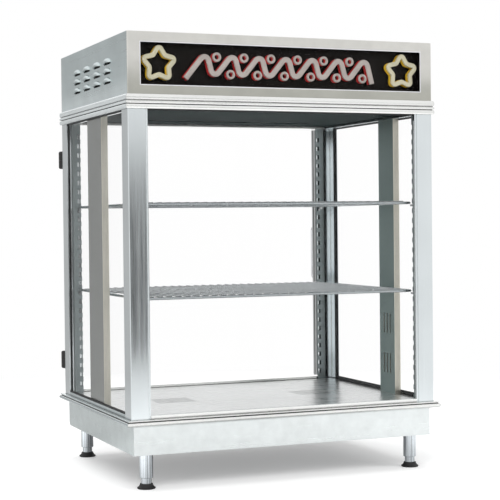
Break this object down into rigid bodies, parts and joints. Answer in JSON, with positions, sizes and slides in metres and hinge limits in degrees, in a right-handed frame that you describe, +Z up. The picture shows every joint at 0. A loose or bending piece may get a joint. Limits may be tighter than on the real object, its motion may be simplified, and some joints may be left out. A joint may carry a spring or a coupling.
{
  "type": "popcorn warmer",
  "caption": "Heated glass counter-top display cabinet on short legs, with wire shelves, a lit sign hood and a rear door.",
  "frame": {"origin": "on the floor, under the middle of the whole object's bounding box; the body's own middle is 20.5 mm in front of it, because the door pull stands out behind", "axes": "+Z up, -Y out of the front glass, +X to the right as seen from the front"},
  "size_m": [0.735, 0.595, 0.9534],
  "materials": {
    "brushed_stainless": "satin brushed",
    "satin_aluminium": "satin anodised",
    "galvanised_sheet": "dull zinc",
    "chrome_plate": "bright plated",
    "bright_steel": "bright",
    "clear_glass": "polished",
    "clear_acrylic": "polished",
    "black_rubber": "matt",
    "dark_sheet": "satin",
    "black_gloss": "gloss",
    "black_plastic": "matt",
    "black_cast": "satin black",
    "red_plastic": "gloss",
    "pink_tube": "unlit tube",
    "cream_tube": "unlit tube",
    "lamp_white": "frosted",
    "dark_sheath": "oxidised"
  },
  "bodies": {
    "cabinet": {"base_skirt": "brushed_stainless", "base_pan": "galvanised_sheet", "control_panel": "brushed_stainless", "deck_panel": "brushed_stainless", "leg_tubes": "chrome_plate", "bottom_rail_front": "satin_aluminium", "bottom_rail_rear": "satin_aluminium", "bottom_rail_sides": "satin_aluminium", "top_rail_front": "satin_aluminium", "top_rail_rear": "satin_aluminium", "top_rail_sides": "satin_aluminium", "post_front_left": "brushed_stainless", "post_front_right": "brushed_stainless", "post_rear_left": "brushed_stainless", "post_rear_right": "brushed_stainless", "front_glass": "clear_glass", "left_glass": "clear_glass", "right_glass": "clear_glass", "glass_gaskets": "black_rubber", "air_risers": "brushed_stainless", "shelf_standards": "brushed_stainless", "shelf_clips": "chrome_plate", "hood_shell": "brushed_stainless", "hood_bezel": "brushed_stainless", "hood_rear_cover": "brushed_stainless", "ceiling_panel": "dark_sheet", "sign_window": "clear_acrylic", "sign_backboard": "black_gloss", "sign_center_tubes": "pink_tube", "sign_star_tubes": "cream_tube", "sign_power_supply": "black_plastic", "cabinet_lamps": "lamp_white", "post_hinge_leaves": "black_cast", "hinge_pins": "bright_steel", "door_catch": "black_rubber", "blower_housing": "galvanised_sheet", "blower_motor": "black_plastic", "heater_element": "dark_sheath", "thermostat": "black_plastic", "switch_bodies": "black_plastic", "cord_inlet": "black_plastic", "cover_screws": "bright_steel"},
    "door": {"door_stiles": "satin_aluminium", "door_glass": "clear_glass", "door_handle": "chrome_plate", "door_hinge_leaves": "black_cast"},
    "lower_shelf": {"lower_shelf": "chrome_plate"},
    "upper_shelf": {"upper_shelf": "chrome_plate"},
    "blower_rotor": {"blower_wheel": "galvanised_sheet"},
    "thermostat_dial": {"thermostat_knob": "black_plastic"},
    "heat_rocker": {"heat_switch_rocker": "red_plastic"},
    "light_rocker": {"light_switch_rocker": "black_gloss"},
    "foot_front_left": {"foot_insert_front_left": "chrome_plate", "rubber_foot_front_left": "black_rubber"},
    "foot_front_right": {"foot_insert_front_right": "chrome_plate", "rubber_foot_front_right": "black_rubber"},
    "foot_rear_left": {"foot_insert_rear_left": "chrome_plate", "rubber_foot_rear_left": "black_rubber"},
    "foot_rear_right": {"foot_insert_rear_right": "chrome_plate", "rubber_foot_rear_right": "black_rubber"}
  },
  "joints": [
    {"name": "door_swing", "type": "hinge", "parent": "cabinet", "child": "door", "pos_m": [-0.352, 0.2605, 0.47], "axis": [0, 0, 1], "range_deg": [0, 170]},
    {"name": "lower_shelf_lift", "type": "slide", "parent": "cabinet", "child": "lower_shelf", "axis": [0, 0, 1], "range_m": [0, 0.008]},
    {"name": "upper_shelf_lift", "type": "slide", "parent": "cabinet", "child": "upper_shelf", "axis": [0, 0, 1], "range_m": [0, 0.008]},
    {"name": "blower_spin", "type": "hinge", "parent": "cabinet", "child": "blower_rotor", "pos_m": [0, -0.0405, 0.1], "axis": [0, 0, 1], "continuous": true},
    {"name": "thermostat_turn", "type": "hinge", "parent": "cabinet", "child": "thermostat_dial", "pos_m": [0.12, 0.2375, 0.104], "axis": [0, -1, 0], "range_deg": [0, 270]},
    {"name": "heat_switch_rock", "type": "hinge", "parent": "cabinet", "child": "heat_rocker", "pos_m": [0.19, 0.2395, 0.104], "axis": [1, 0, 0], "range_deg": [0, 20]},
    {"name": "light_switch_rock", "type": "hinge", "parent": "cabinet", "child": "light_rocker", "pos_m": [0.225, 0.2395, 0.104], "axis": [1, 0, 0], "range_deg": [0, 20]},
    {"name": "foot_front_left_height", "type": "slide", "parent": "cabinet", "child": "foot_front_left", "axis": [0, 0, -1], "range_m": [0, 0.025]},
    {"name": "foot_front_right_height", "type": "slide", "parent": "cabinet", "child": "foot_front_right", "axis": [0, 0, -1], "range_m": [0, 0.025]},
    {"name": "foot_rear_left_height", "type": "slide", "parent": "cabinet", "child": "foot_rear_left", "axis": [0, 0, -1], "range_m": [0, 0.025]},
    {"name": "foot_rear_right_height", "type": "slide", "parent": "cabinet", "child": "foot_rear_right", "axis": [0, 0, -1], "range_m": [0, 0.025]}
  ]
}
